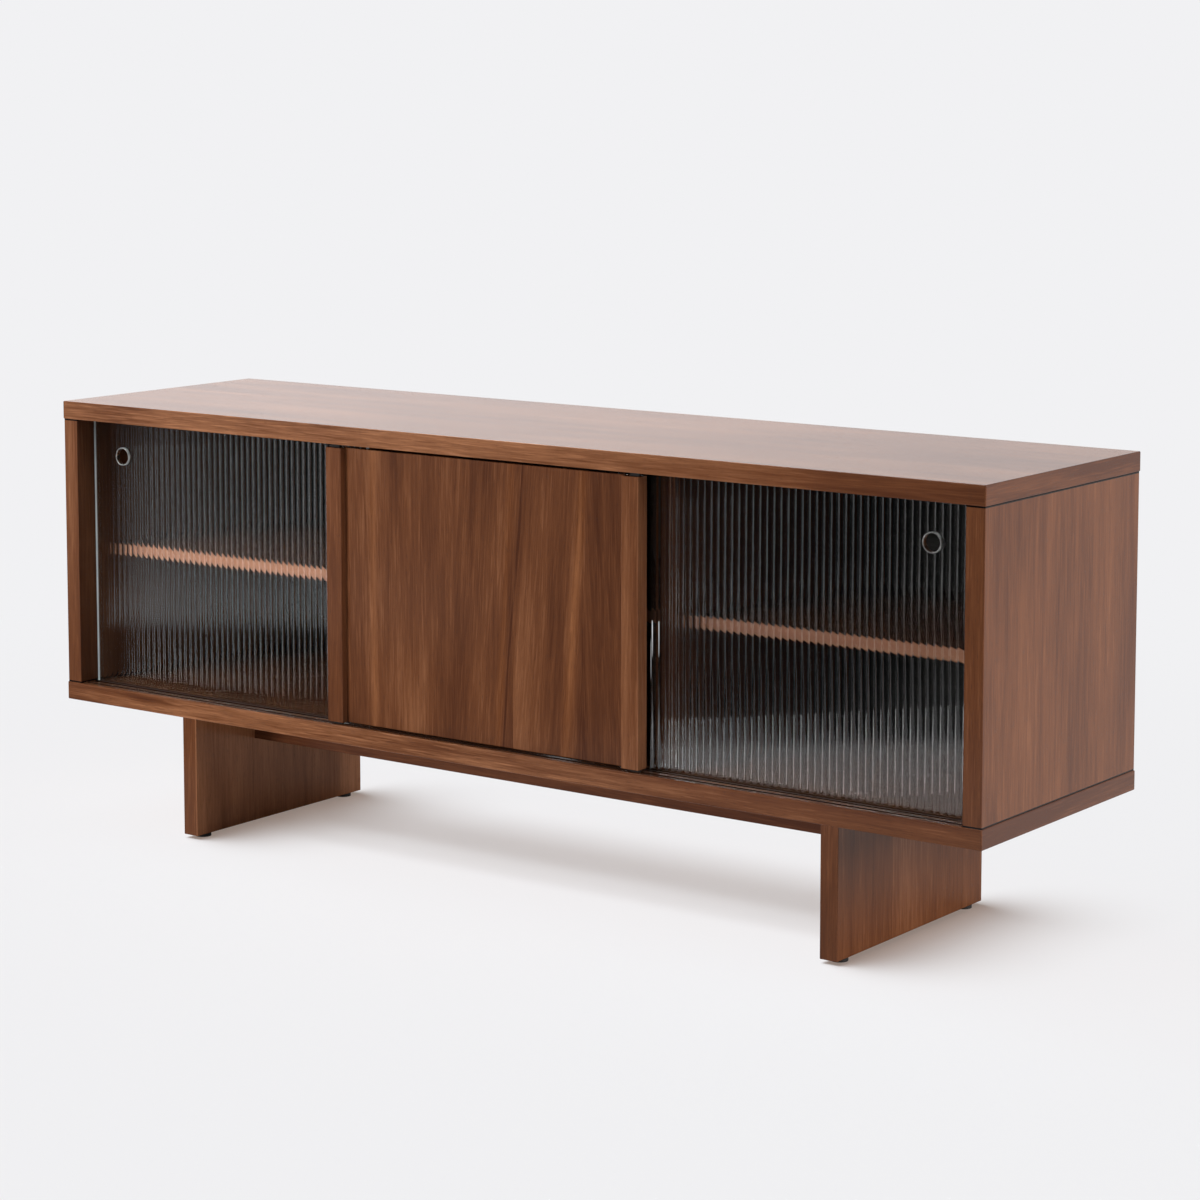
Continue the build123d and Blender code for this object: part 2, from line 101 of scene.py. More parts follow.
# Shelves: how much of the pale band colour shows on the front edge, partly an edge band and partly painted
# light, strongest on the left shelf where most light falls
SHELF_BANDS_AND_LIGHT = {"left_shelf": 0.52, "centre_shelf": 0.2, "right_shelf": 0.19}
BAND_THICKNESS = 0.0008
# How much painted shade darkens the boards inside the cabinet, and the boards that get less of it
INSIDE_SHADE_SHARE = 0.7
INSIDE_SLACK = 0.0004
LESS_INSIDE_SHADE = {"left_shelf": 0.3, "left_side_panel": 0.55, "bottom_panel": 0.45}
# Boards whose ends meet the slabs in a V-groove, and the height of the near-black line painted along it as
# shade
GROOVED = ("left_side_panel", "right_side_panel")
GROOVE_SHADE_HEIGHT = 0.002
# The door's pulls and their tones
PULLS = {"door_left_pull": -0.1, "door_right_pull": 0.16}
# Veneer strips of the door: where each ends as a share of the panel's width, its tone, and its grain's lean
DOOR_STRIPS = (
    (0.17, -0.02, 0.02),
    (0.40, -0.08, 0.0),
    (0.61, -0.12, -0.06),
    (0.845, -0.09, -0.07),
    (1.0, -0.24, 0.03),
)
# How far the veneer of each strip lies from the last one in the tree, across the grain and along it
STRIP_STEP = (0.37, 1.9)
# Single streaks on the door: place and half width as shares of the width, tone, and lean from top to bottom
DOOR_STREAKS = (
    (0.115, 0.03, 0.26, 0.0),
    (0.24, 0.05, 0.10, 0.0),
    (0.585, 0.026, 0.28, -0.05),
    (0.612, 0.006, -0.35, -0.07),
    (0.82, 0.03, 0.32, -0.06),
)
STREAK_WANDER = 0.03
AMBER_SHARE = 0.6
AMBER_RANGE = (0.0, 0.4)
VENEER_CONTRAST = 1.15
# Layers of the grain: stretch along the board, scale against the streaks, detail, roughness and distortion
GRAIN_LAYERS = {
    "figure": (6.0, 0.25, 2.0, 0.5, 0.4),
    "streaks": (18.0, 1.0, 3.0, 0.55, 0.3),
    "threads": (24.0, 3.2, 2.0, 0.5, 0.2),
    "dashes": (20.0, 7.0, 1.0, 0.5, 0.0),
    "fibres": (30.0, 12.0, 3.0, 0.6, 0.0),
    "specks": (22.0, 34.0, 1.0, 0.5, 0.0),
}
# What the layers add to the tone, and the ranges of noise that show as pale dashes and as pores
GRAIN_WEIGHTS = {"figure": 0.95, "streaks": 0.7, "threads": 0.38, "fibres": 0.45}
GRAIN_LEVEL = -0.055
DASH_WEIGHT = 0.15
DASH_RANGE = (0.5, 0.72)
PORE_RANGE = (0.62, 0.74)
# Tones run from the darkest streak at 0 to the palest at TONE_RANGE, with the main stain at MIDDLE_TONE
TONE_RANGE = 1.5
MIDDLE_TONE = 0.5
# Lacquer: what the pores and fibres under it do to its colour, relief and roughness
PORE_SHARE = 0.6
FIBRE_RELIEF = 0.35
WOOD_RELIEF = 0.3
FIBRE_ROUGHNESS = 0.08
PORE_ROUGHNESS = 0.12
LACQUER_IOR = 1.25
# Glass, and the handling marks on it
GLASS_IOR = 1.5
GLASS_ROUGHNESS = 0.012
MARK_RANGE = (0.45, 0.75)
MARK_ROUGHNESS = 0.02
MARK_SHADE = 0.985
# Fine marks in plain finishes: scale and detail of their noise, how much of their shade shows, that shade as
# a share of the colour, and what they add to the roughness
GRIT = (2600.0, 2.0, 0.2, 0.8, 0.2)
TURNING = (1800.0, 2.0, 0.3, 0.85, 0.16)
CLOUDING = (420.0, 3.0, 0.5, 0.8, 0.14)
# Ground edges and rings: the roughness before those marks
GROUND_ROUGHNESS = 0.5
RING_ROUGHNESS = 0.18
# Dull plastic and the back board: relief, roughness, and the range of shades about their colour
DULL_IOR = 1.2
PLASTIC_RELIEF = 0.12
PLASTIC_LINE_DEPTH = 0.00005
PLASTIC_ROUGHNESS = 0.5
LINE_ROUGHNESS = 0.16
PLASTIC_SHADES = (0.8, 1.25)
BACK_RELIEF = 0.25
BACK_FIBRE_DEPTH = 0.0001
BACK_ROUGHNESS = 0.6
BACK_FIBRE_ROUGHNESS = 0.2
BACK_FIBRE_SHARE = 0.6
BACK_RANGE = (0.3, 0.7)
BACK_SHADES = (0.55, 1.8)
BEECH_ROUGHNESS = 0.55
FLECK_ROUGHNESS = 0.2
FLECK_SHADE = 0.75
UPPER_TRACKS = ("upper_glass_track", "upper_door_track")
LOWER_TRACKS = ("lower_glass_track", "lower_door_track")
RUNNERS = ("door_bottom_glides", "door_top_guides", "left_glass_glides", "right_glass_glides")
DOWELS = ("carcase_dowels", "stretcher_dowels")
# Metal fixings: the finish, the setting that holds its colour, its roughness before clouding, and the pieces
METAL_FIXINGS = (
    ("zinc_steel", "steel", 0.26, ("back_panel_screws", "shelf_pins")),
    ("blackened_steel", "bolts", 0.39, ("leg_bolts", "stretcher_screws")),
    ("turned_brass", "brass", 0.22, ("leg_inserts",)),
)


def colour_property(name, description, default):
    """A colour that the user can change."""
    return FloatVectorProperty(
        name=name, description=description, default=default, subtype="COLOR", size=3, min=0.0, max=1.0
    )


def length_property(name, description, default):
    """A length in metres that the user can change."""
    return FloatProperty(
        name=name, description=description, default=default, min=0.0, unit="LENGTH", precision=5
    )


def strength_property(name, description, default):
    """A lamp's strength or power that the user can change."""
    return FloatProperty(name=name, description=description, default=default, min=0.0)


def angle_property(name, description, degrees):
    """An angle that the user can change."""
    return FloatProperty(
        name=name, description=description, default=math.radians(degrees), subtype="ANGLE"
    )


def share_property(name, description, default):
    """A share from 0 to 1 that the user can change."""
    return FloatProperty(
        name=name, description=description, default=default, min=0.0, max=1.0, subtype="FACTOR"
    )


class CABINET_PG_walnut(bpy.types.PropertyGroup):
    """Colours and grain of the stained walnut."""

    palest: colour_property("Palest streak", "Colour of the palest streaks", (0.40, 0.176, 0.086))
    pale: colour_property("Pale streak", "Colour of the pale streaks", (0.27, 0.112, 0.052))
    middle: colour_property("Stain", "Main colour of the stained wood", (0.145, 0.052, 0.022))
    dark: colour_property("Dark streak", "Colour of the darkest streaks", (0.070, 0.023, 0.011))
    pore: colour_property("Pore", "Colour in the open pores", (0.030, 0.010, 0.005))
    amber: colour_property("Amber", "Tint of the door's golden streaks", (1.0, 0.9, 0.70))
    # Groove shade: a near-black colour painted along the V-grooves beside the slabs, where shade falls
    groove_shade: colour_property("Groove", "Colour in the grooves beside the slabs", (0.005, 0.0025, 0.0018))
    # Inside: painted shade, a dark colour laid over the boards inside the cabinet where shade falls
    inside: colour_property("Inside", "Colour of the dark stain inside the cabinet", (0.022, 0.009, 0.0055))
    # Band: a pale colour on the shelves' front edges, partly edge banding and partly a painted highlight
    band_and_light: colour_property("Edge band", "Colour of the band on a shelf's front edge", (0.48, 0.222, 0.135))
    satin: share_property("Satin", "Roughness of the lacquer", 0.19)
    streak_width: length_property("Streak width", "Usual width of a streak", 0.016)
    pore_depth: length_property("Pore depth", "Depth of the pores under the lacquer", 0.00012)


class CABINET_PG_glass(bpy.types.PropertyGroup):
    """Shape and colours of the fluted panes."""

    flutes: IntProperty(name="Flutes", description="Number of flutes on a pane", default=50, min=1)
    flute_depth: length_property("Flute depth", "From a ridge to the bed of the flute beside it", 0.0012)
    ridge_round: length_property("Ridge rounding", "Rounding along a ridge", 0.0005)
    tint: colour_property("Tint", "Colour of the clear glass", (0.93, 0.955, 0.955))
    ground_edge: colour_property("Ground edge", "Colour of the ground edges", (0.86, 0.90, 0.89))


class CABINET_PG_fittings(bpy.types.PropertyGroup):
    """Sizes and colours of rings, tracks, feet and fixings."""

    ring_bore: length_property("Ring bore", "Inner radius of a finger ring", 0.0113)
    ring_wall: length_property("Ring wall", "Wall of a finger ring's sleeve", 0.0006)
    ring_flange: length_property("Ring flange", "Thickness of a finger ring's flange", 0.0008)
    ring_metal: colour_property("Ring metal", "Colour of the finger rings", (0.80, 0.79, 0.77))
    # The upper tracks' colour is a darker copy of the tracks' plastic, painted shade for the shade under the
    # top slab
    upper_track: colour_property("Upper track", "Colour of the upper tracks", (0.007, 0.0055, 0.005))
    lower_track: colour_property("Lower track", "Colour of the lower tracks", (0.032, 0.016, 0.011))
    nylon: colour_property("Nylon", "Colour of the feet and glides", (0.030, 0.028, 0.027))
    steel: colour_property("Steel", "Colour of the back's screws and the shelf pins", (0.58, 0.58, 0.59))
    bolts: colour_property("Bolts", "Colour of the blackened bolts and screws", (0.03, 0.03, 0.032))
    brass: colour_property("Brass", "Colour of the threaded inserts", (0.70, 0.52, 0.22))
    beech: colour_property("Beech", "Colour of the dowels", (0.62, 0.45, 0.28))
    back_board: colour_property("Back board", "Colour of the back panel", (0.013, 0.0118, 0.011))


class CABINET_PG_stage(bpy.types.PropertyGroup):
    """The studio: background, light and camera."""

    background: colour_property("Background", "Colour of the backdrop", (0.880, 0.880, 0.896))
    paper: colour_property("Floor", "Colour of the floor", (0.80, 0.80, 0.815))
    shadow: share_property("Shadow", "How much of the floor's shadow shows", 0.77)
    floor_light: strength_property("Floor light", "Strength of the floor's own light", 3.92)
    dome: strength_property("Dome", "Strength of the soft light all round", 0.25)
    key: strength_property("Key", "Power of the front softbox in watts", 140.0)
    sheen: strength_property("Sheen", "Power of the low softbox in watts", 12.0)
    strip: strength_property("Strip", "Power of each pane's tall strip light in watts", 0.13)
    low_strip: strength_property("Low strip", "Power of the right pane's low strip light in watts", 0.22)
    side: strength_property("Side", "Power of the side softbox in watts", 208.0)
    top: strength_property("Top", "Power of the overhead softbox in watts", 82.0)
    lens: FloatProperty(
        name="Lens", description="Focal length in millimetres", default=96.416, min=1.0, unit="CAMERA"
    )
    eye: FloatVectorProperty(
        name="Eye", description="Where the camera stands", default=(2.52541, -3.36681, 1.09425),
        subtype="TRANSLATION", unit="LENGTH", size=3,
    )
    turn: angle_property("Turn", "Camera's turn to the left of straight back", 36.2665)
    pitch: angle_property("Pitch", "Camera's tilt below the horizon", 6.1933)
    shift: FloatProperty(name="Shift", description="Upward shift of the lens", default=-0.17)


class Value:
    """A number on a shader socket, which Python arithmetic turns into Math nodes."""

    def __init__(self, graph, socket):
        self.graph = graph
        self.socket = socket

    def maths(self, operation, *inputs):
        """The result of a Math node."""
        return self.graph.add("Math", {"operation": operation}, dict(enumerate(inputs)))

    def __add__(self, other):
        return self.maths("ADD", self, other)

    def __radd__(self, other):
        return self.maths("ADD", other, self)

    def __sub__(self, other):
        return self.maths("SUBTRACT", self, other)

    def __rsub__(self, other):
        return self.maths("SUBTRACT", other, self)

    def __mul__(self, other):
        return self.maths("MULTIPLY", self, other)

    def __rmul__(self, other):
        return self.maths("MULTIPLY", other, self)

    def __truediv__(self, other):
        return self.maths("DIVIDE", self, other)

    def __rtruediv__(self, other):
        return self.maths("DIVIDE", other, self)

    def __abs__(self):
        return self.maths("ABSOLUTE", self)

    def beside(self, output):
        """Another output of the node that gave this value."""
        return Value(self.graph, self.socket.node.outputs[output])

    def above(self, limit):
        """1 where the value is greater than the limit, otherwise 0."""
        return self.maths("GREATER_THAN", self, limit)

    def either(self, other):
        """The larger of two values."""
        return self.maths("MAXIMUM", self, other)

    def rise(self, low, high):
        """A smooth step from 0 at low to 1 at high."""
        return self.graph.add(
            "MapRange", {"interpolation_type": "SMOOTHSTEP"}, {0: self, 1: low, 2: high, 3: 0.0, 4: 1.0}
        )


class Graph:
    """The nodes of one material or world."""

    def __init__(self, tree):
        self.tree = tree
        tree.nodes.clear()

    def add(self, kind, settings=None, inputs=None, output=0):
        """Adds a node, makes its settings, then sets or links its sockets, and gives one output."""
        node = self.tree.nodes.new("ShaderNode" + kind)
        for key, value in (settings or {}).items():
            if key == "stops":
                self.set_stops(node.color_ramp, value)
            else:
                setattr(node, key, value)
        for key, value in (inputs or {}).items():
            self.feed(node.inputs[key], value)
        return Value(self, node.outputs[output])

    def feed(self, socket, value):
        """Links a value to a socket, or sets a plain number or colour on it."""
        if isinstance(value, Value):
            self.tree.links.new(value.socket, socket)
        elif socket.type == "RGBA" and len(value) == 3:
            socket.default_value = (*value, 1.0)
        else:
            socket.default_value = value

    def set_stops(self, ramp, stops):
        """Gives a colour ramp its stops, as (place, colour) pairs."""
        while len(ramp.elements) < len(stops):
            ramp.elements.new(1.0)
        for element, (place, colour) in zip(ramp.elements, stops):
            element.position = place
            element.color = (*colour, 1.0)

    def ramp(self, place, stops):
        """A colour picked from a ramp by a value from 0 to 1."""
        return self.add("ValToRGB", {"stops": stops}, {0: place})

    def mix(self, share, first, second, blend="MIX"):
        """A colour between two others."""
        settings = {"data_type": "RGBA", "blend_type": blend}
        return self.add("Mix", settings, {0: share, 6: first, 7: second}, output=2)

    def noise(self, vector, scale, detail=2.0, roughness=0.6, distortion=0.0):
        """Smooth noise, as a value about 0.5."""
        inputs = {
            "Vector": vector, "Scale": scale, "Detail": detail, "Roughness": roughness,
            "Distortion": distortion,
        }
        return self.add("TexNoise", {}, inputs)

    def place(self, scale=EVEN):
        """The piece's own coordinates in metres, drawn out along an axis or even."""
        return self.stretch(self.add("TexCoord", output="Object"), scale)

    def stretch(self, where, scale=EVEN, shift=(0.0, 0.0, 0.0)):
        """Coordinates drawn out and shifted."""
        return self.add("Mapping", {}, {"Vector": where, "Scale": scale, "Location": shift})

    def show(self, shader, output="OutputMaterial"):
        """Links a shader to the output."""
        node = self.tree.nodes.new("ShaderNode" + output)
        self.tree.links.new(shader.socket, node.inputs["Surface"])


def new_material(name):
    """An empty material with its graph."""
    material = bpy.data.materials.new(name)
    material.use_nodes = True
    return material, Graph(material.node_tree)


def shaded(colour, share):
    """A colour made darker or paler."""
    return tuple(share * part for part in colour)


def along_grain(grain, stretch):
    """A scale for texture coordinates that draws a pattern out along the grain."""
    return tuple(1.0 / stretch if axis == grain else 1.0 for axis in "XYZ")


def wood_shader(graph, look, tone, pores, fibres, overlays=()):
    """Stained and lacquered walnut: tone picks the colour, pores darken it and dent the lacquer.

    Each overlay is a share, a colour and how the colour is blended in.
    """
    colours = (look.dark, look.middle, look.pale, look.palest)
    stops = [(count / (len(colours) - 1), colour) for count, colour in enumerate(colours)]
    stain = graph.ramp(tone / TONE_RANGE, stops)
    colour = graph.mix(pores * PORE_SHARE, stain, look.pore)
    for share, tint, blend in overlays:
        colour = graph.mix(share, colour, tint, blend)
    height = fibres * FIBRE_RELIEF - pores
    relief = {"Strength": WOOD_RELIEF, "Distance": look.pore_depth, "Height": height}
    roughness = look.satin + (fibres - NOISE_MEAN) * FIBRE_ROUGHNESS + pores * PORE_ROUGHNESS
    shine = {
        "Base Color": colour, "Roughness": roughness, "IOR": LACQUER_IOR,
        "Normal": graph.add("Bump", {}, relief),
    }
    return graph.add("BsdfPrincipled", {}, shine)


def wood_grain(graph, look, grain, where):
    """The grain of one board: its tone about 0, its fibres about 0.5 and its pores from 0 to 1."""
    layers = {}
    for name, (stretch, scale, detail, roughness, distortion) in GRAIN_LAYERS.items():
        drawn = graph.stretch(where, along_grain(grain, stretch))
        layers[name] = graph.noise(drawn, scale / look.streak_width, detail, roughness, distortion)
    tone = layers["dashes"].rise(*DASH_RANGE) * DASH_WEIGHT + GRAIN_LEVEL
    for name, weight in GRAIN_WEIGHTS.items():
        tone = (layers[name] - NOISE_MEAN) * weight + tone
    return tone, layers["fibres"], layers["specks"].rise(*PORE_RANGE)


def compartment_mask(x, y, z, front):
    """1 on the faces inside the cabinet and behind a front, otherwise 0."""
    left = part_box("left_side_panel")[1].x - INSIDE_SLACK
    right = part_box("right_side_panel")[0].x + INSIDE_SLACK
    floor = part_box("bottom_panel")[1].z - INSIDE_SLACK
    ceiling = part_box("top_panel")[0].z + INSIDE_SLACK
    across = x.above(left) * (1.0 - x.above(right))
    return across * y.above(front - INSIDE_SLACK) * z.above(floor) * (1.0 - z.above(ceiling))


def board_finish(name, look, grain, shift, tone):
    """Walnut for one board, cut from its own part of the tree, with painted shade darkening it inside the
    cabinet.
    """
    material, graph = new_material("walnut_" + name)
    where = graph.add("TexCoord", output="Object")
    x = graph.add("SeparateXYZ", {}, {0: where}, output="X")
    y = x.beside("Y")
    z = x.beside("Z")
    low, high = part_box(name)
    shade = MIDDLE_TONE + tone
    # Slabs: painted light along the front edge, paler at the left where the light falls stronger, and
    # painted shade darkening the ends
    if name in SLAB_EDGE_TONES_AND_LIGHT:
        tones = SLAB_EDGE_TONES_AND_LIGHT[name]
        change = tones[0][1] - tone
        for (start, before), (end, after) in zip(tones, tones[1:]):
            change = x.rise(start, end) * (after - before) + change
        edge = 1.0 - y.above(low.y + EDGE_THICKNESS)
        ends = abs(x).above(high.x - EDGE_THICKNESS)
        shade = change * edge + (1.0 - edge) * ends * (SLAB_END_SHADE - tone) + shade
        where = graph.add("CombineXYZ", {}, {0: x + (y - x) * ends, 1: y + (x - y) * ends, 2: z})
    # Painted light and shade: the right face's tone is shifted to stand for the light that falls on it
    if name in RIGHT_FACE_PAINTED_LIGHT:
        shade = x.above(high.x - EDGE_THICKNESS) * RIGHT_FACE_PAINTED_LIGHT[name] + shade
    cut = graph.stretch(where, shift=shift)
    figure, fibres, pores = wood_grain(graph, look, grain, cut)
    if name in SLAB_EDGE_TONES_AND_LIGHT:
        figure = figure * (edge * (1.0 - x.rise(*EDGE_CALM)) * EDGE_FIGURE + 1.0)
    # Painted shade: the inside colour darkens the boards' faces inside the cabinet, behind the glass tracks,
    # or behind the front edge on the side panels
    front = low.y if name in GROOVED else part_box("lower_glass_track")[1].y
    inside = compartment_mask(x, y, z, front) * LESS_INSIDE_SHADE.get(name, INSIDE_SHADE_SHARE)
    overlays = [(inside, look.inside, "MIX")]
    # Painted light: the pale band on the shelf's front edge is made stronger where more light falls
    if name in SHELF_BANDS_AND_LIGHT:
        band_and_light = (1.0 - y.rise(low.y, low.y + BAND_THICKNESS)) * SHELF_BANDS_AND_LIGHT[name]
        overlays.append((band_and_light, look.band_and_light, "MIX"))
    # Painted shade: a dark line along the top and bottom ends, where the V-grooves at the slabs lie in shade
    if name in GROOVED:
        upper = z.above(high.z - GROOVE_SHADE_HEIGHT)
        lower = 1.0 - z.above(low.z + GROOVE_SHADE_HEIGHT)
        overlays.append((upper.either(lower), look.groove_shade, "MIX"))
    graph.show(wood_shader(graph, look, figure + shade, pores, fibres, overlays))
    return material


def veneer_finish(look, low, high):
    """Walnut veneer on the door's panel: upright strips side by side, and a few single streaks."""
    material, graph = new_material("walnut_veneer")
    place = graph.add("TexCoord", output="Object")
    x = graph.add("SeparateXYZ", {}, {0: place}, output="X")
    y = x.beside("Y")
    z = x.beside("Z")
    share = (x - low.x) / (high.x - low.x)
    rise = (z - low.z) / (high.z - low.z)
    strip_tone = DOOR_STRIPS[0][1]
    lean = DOOR_STRIPS[0][2]
    strip = 0.0
    for this, following in zip(DOOR_STRIPS, DOOR_STRIPS[1:]):
        beyond = share.above(this[0])
        strip_tone = beyond * (following[1] - this[1]) + strip_tone
        lean = beyond * (following[2] - this[2]) + lean
        strip = beyond + strip
    across, along = STRIP_STEP
    cut = {0: x + z * lean + strip * across, 1: y, 2: z + strip * along}
    figure, fibres, pores = wood_grain(graph, look, "Z", graph.add("CombineXYZ", {}, cut))
    drift = graph.noise(graph.stretch(place, along_grain("Z", stretch=4.0)), 12.0, detail=1.0, roughness=0.5)
    wander = (drift - NOISE_MEAN) * STREAK_WANDER
    streaks = 0.0
    for centre, half, tone, slant in DOOR_STREAKS:
        offset = abs(share + wander + rise * slant - (centre + slant / 2))
        streaks = (1.0 - offset.rise(0.0, half)) * tone + streaks
    tone = figure * VENEER_CONTRAST + strip_tone + streaks + MIDDLE_TONE
    amber = streaks.rise(*AMBER_RANGE) * AMBER_SHARE
    graph.show(wood_shader(graph, look, tone, pores, fibres, [(amber, look.amber, "MULTIPLY")]))
    return material


def dress(material, *nodes):
    """Gives carried-over pieces their finish."""
    for node in nodes:
        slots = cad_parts[node].material_slots
        if not slots:
            raise RuntimeError(f"{node} has no material slot")
        for slot in slots:
            slot.material = material


def add_piece(name, bm, materials, body, replaced):
    """Turns a bmesh into a piece that rides on a body and stands for a node."""
    mesh = bpy.data.meshes.new(name)
    bm.to_mesh(mesh)
    bm.free()
    for material in materials:
        mesh.materials.append(material)
    piece = bpy.data.objects.new(name, mesh)
    bpy.context.scene.collection.objects.link(piece)
    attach(piece, body)
    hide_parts(replaced)
    return piece


def shade_by_angle(bm, limit):
    """Smooth faces with sharp edges where two faces meet at more than the limit."""
    for face in bm.faces:
        face.smooth = True
    for edge in bm.edges:
        edge.smooth = edge.is_manifold and edge.calc_face_angle() < limit


def carve(bm, cutter):
    """Cuts the cutter's shape out of a closed bmesh, and gives the bmesh that is left."""
    objects = []
    for name, shape in (("carved", bm), ("cutter", cutter)):
        mesh = bpy.data.meshes.new(name)
        shape.to_mesh(mesh)
        shape.free()
        made = bpy.data.objects.new(name, mesh)
        bpy.context.scene.collection.objects.link(made)
        objects.append(made)
    carved, tool = objects
    cut = carved.modifiers.new("cut", "BOOLEAN")
    cut.operation = "DIFFERENCE"
    cut.solver = "EXACT"
    cut.object = tool
    bpy.context.view_layer.update()
    left = bmesh.new()
    left.from_object(carved, bpy.context.evaluated_depsgraph_get())
    for made in objects:
        mesh = made.data
        bpy.data.objects.remove(made)
        bpy.data.meshes.remove(mesh)
    return left


def spun(profile, centre, axis, steps):
    """A closed solid of revolution from (radius, height) points about an axis through the centre."""
    bm = bmesh.new()
    axis = Vector(axis)
    out = axis.orthogonal().normalized()
    ring = [bm.verts.new(Vector(centre) + out * radius + axis * height) for radius, height in profile]
    edges = [bm.edges.new(pair) for pair in zip(ring, ring[1:])]
    closed_ring = profile[0][0] > 0
    if closed_ring:
        edges.append(bm.edges.new((ring[-1], ring[0])))
    bmesh.ops.spin(
        bm, geom=ring + edges, cent=centre, axis=axis, angle=math.tau, steps=steps, use_merge=True
    )
    bmesh.ops.remove_doubles(bm, verts=bm.verts[:], dist=MERGE_DISTANCE)
    bmesh.ops.recalc_face_normals(bm, faces=bm.faces[:])
    return bm


class CABINET_OT_boards(bpy.types.Operator):
    """Finishes the slabs, sides, dividers, shelves, legs and rails in walnut"""

    bl_idname = "cabinet.boards"
    bl_label = "Finish Boards"

    def execute(self, context):
        look = context.scene.cabinet_walnut
        for count, (node, (grain, tone)) in enumerate(BOARDS.items()):
            shift = tuple(step * count for step in BOARD_STEP)
            dress(board_finish(node, look, grain, shift, tone), node)
        return {"FINISHED"}


class CABINET_OT_wooden_door(bpy.types.Operator):
    """Finishes the wooden door: a panel of veneer strips between two solid pulls"""

    bl_idname = "cabinet.wooden_door"
    bl_label = "Finish Wooden Door"

    def execute(self, context):
        look = context.scene.cabinet_walnut
        for count, (node, tone) in enumerate(PULLS.items()):
            shift = (PULL_PLACE[0] + count, *PULL_PLACE[1:])
            dress(board_finish(node, look, "Z", shift, tone), node)
        dress(veneer_finish(look, *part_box("door_panel")), "door_panel")
        return {"FINISHED"}


class CABINET_OT_glass_doors(bpy.types.Operator):
    """Models the two fluted panes with their ground edges and finger holes"""

    bl_idname = "cabinet.glass_doors"
    bl_label = "Model Glass Doors"

    flute_facets = 12
    ridge_facets = 3
    merge_share = 0.001
    hole_play = 0.0001
    hole_sides = 64
    sharp = math.radians(32.0)
    # How far a face must turn to the front or back, or to the cabinet's middle, to be clear and not ground
    clear_front = 0.3
    clear_end = 0.9

    def execute(self, context):
        look = context.scene.cabinet_glass
        fittings = context.scene.cabinet_fittings
        materials = [clear_glass(look), ground_glass(look)]
        for hand in HANDS:
            pane = self.fluted_sheet(hand, look)
            pane = carve(pane, self.hole_cutter(hand, fittings))
            inner = -1.0 if hand == "right" else 1.0
            for face in pane.faces:
                to_front = abs(face.normal.y) > self.clear_front
                to_middle = face.normal.x * inner > self.clear_end
                face.material_index = 0 if to_front or to_middle else 1
            shade_by_angle(pane, self.sharp)
            node = f"{hand}_glass_pane"
            add_piece(f"{hand}_fluted_pane", pane, materials, f"{hand}_glass_door", node)
        return {"FINISHED"}

    def fluted_sheet(self, hand, look):
        """One pane's outline, with hollow flutes along its front, raised to the pane's height."""
        low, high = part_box(f"{hand}_glass_pane")
        pitch = (high.x - low.x) / look.flutes
        radius = ((pitch / 2) ** 2 + look.flute_depth ** 2) / (2 * look.flute_depth)
        sweep = 2 * math.asin(pitch / 2 / radius)
        bm = bmesh.new()
        start = bm.verts.new(low)
        centre = (low.x + pitch / 2, low.y + look.flute_depth - radius, low.z)
        bmesh.ops.spin(
            bm, geom=[start], cent=centre, axis=(0, 0, 1), angle=-sweep, steps=self.flute_facets
        )
        flute = bm.verts[:] + bm.edges[:]
        for count in range(1, look.flutes):
            made = bmesh.ops.duplicate(bm, geom=flute)["geom"]
            copies = [item for item in made if isinstance(item, bmesh.types.BMVert)]
            bmesh.ops.translate(bm, verts=copies, vec=(count * pitch, 0, 0))
        bmesh.ops.remove_doubles(bm, verts=bm.verts[:], dist=pitch * self.merge_share)
        ends = sorted(bm.verts, key=lambda vert: vert.co.x)
        corners = [bm.verts.new((x, high.y, low.z)) for x in (high.x, low.x)]
        for pair in ((ends[-1], corners[0]), corners, (corners[1], ends[0])):
            bm.edges.new(pair)
        bmesh.ops.contextual_create(bm, geom=bm.edges[:])
        ridges = [
            vert for vert in bm.verts
            if abs(vert.co.y - low.y) < MERGE_DISTANCE
            and low.x + pitch / 2 < vert.co.x < high.x - pitch / 2
        ]
        bmesh.ops.bevel(
            bm, geom=ridges, offset=look.ridge_round, segments=self.ridge_facets, profile=0.5,
            affect="VERTICES", material=-1,
        )
        raised = bmesh.ops.extrude_face_region(bm, geom=bm.faces[:])["geom"]
        top = [item for item in raised if isinstance(item, bmesh.types.BMVert)]
        bmesh.ops.translate(bm, verts=top, vec=(0, 0, high.z - low.z))
        bmesh.ops.recalc_face_normals(bm, faces=bm.faces[:])
        return bm

    def hole_cutter(self, hand, fittings):
        """A round bar where the finger ring goes through the pane."""
        ring_low, ring_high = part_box(f"{hand}_finger_ring")
        centre = (ring_low + ring_high) / 2
        radius = fittings.ring_bore + fittings.ring_wall + self.hole_play
        half = ring_high.y - ring_low.y
        profile = [(0, -half), (radius, -half), (radius, half), (0, half)]
        return spun(profile, centre, (0, 1, 0), self.hole_sides)


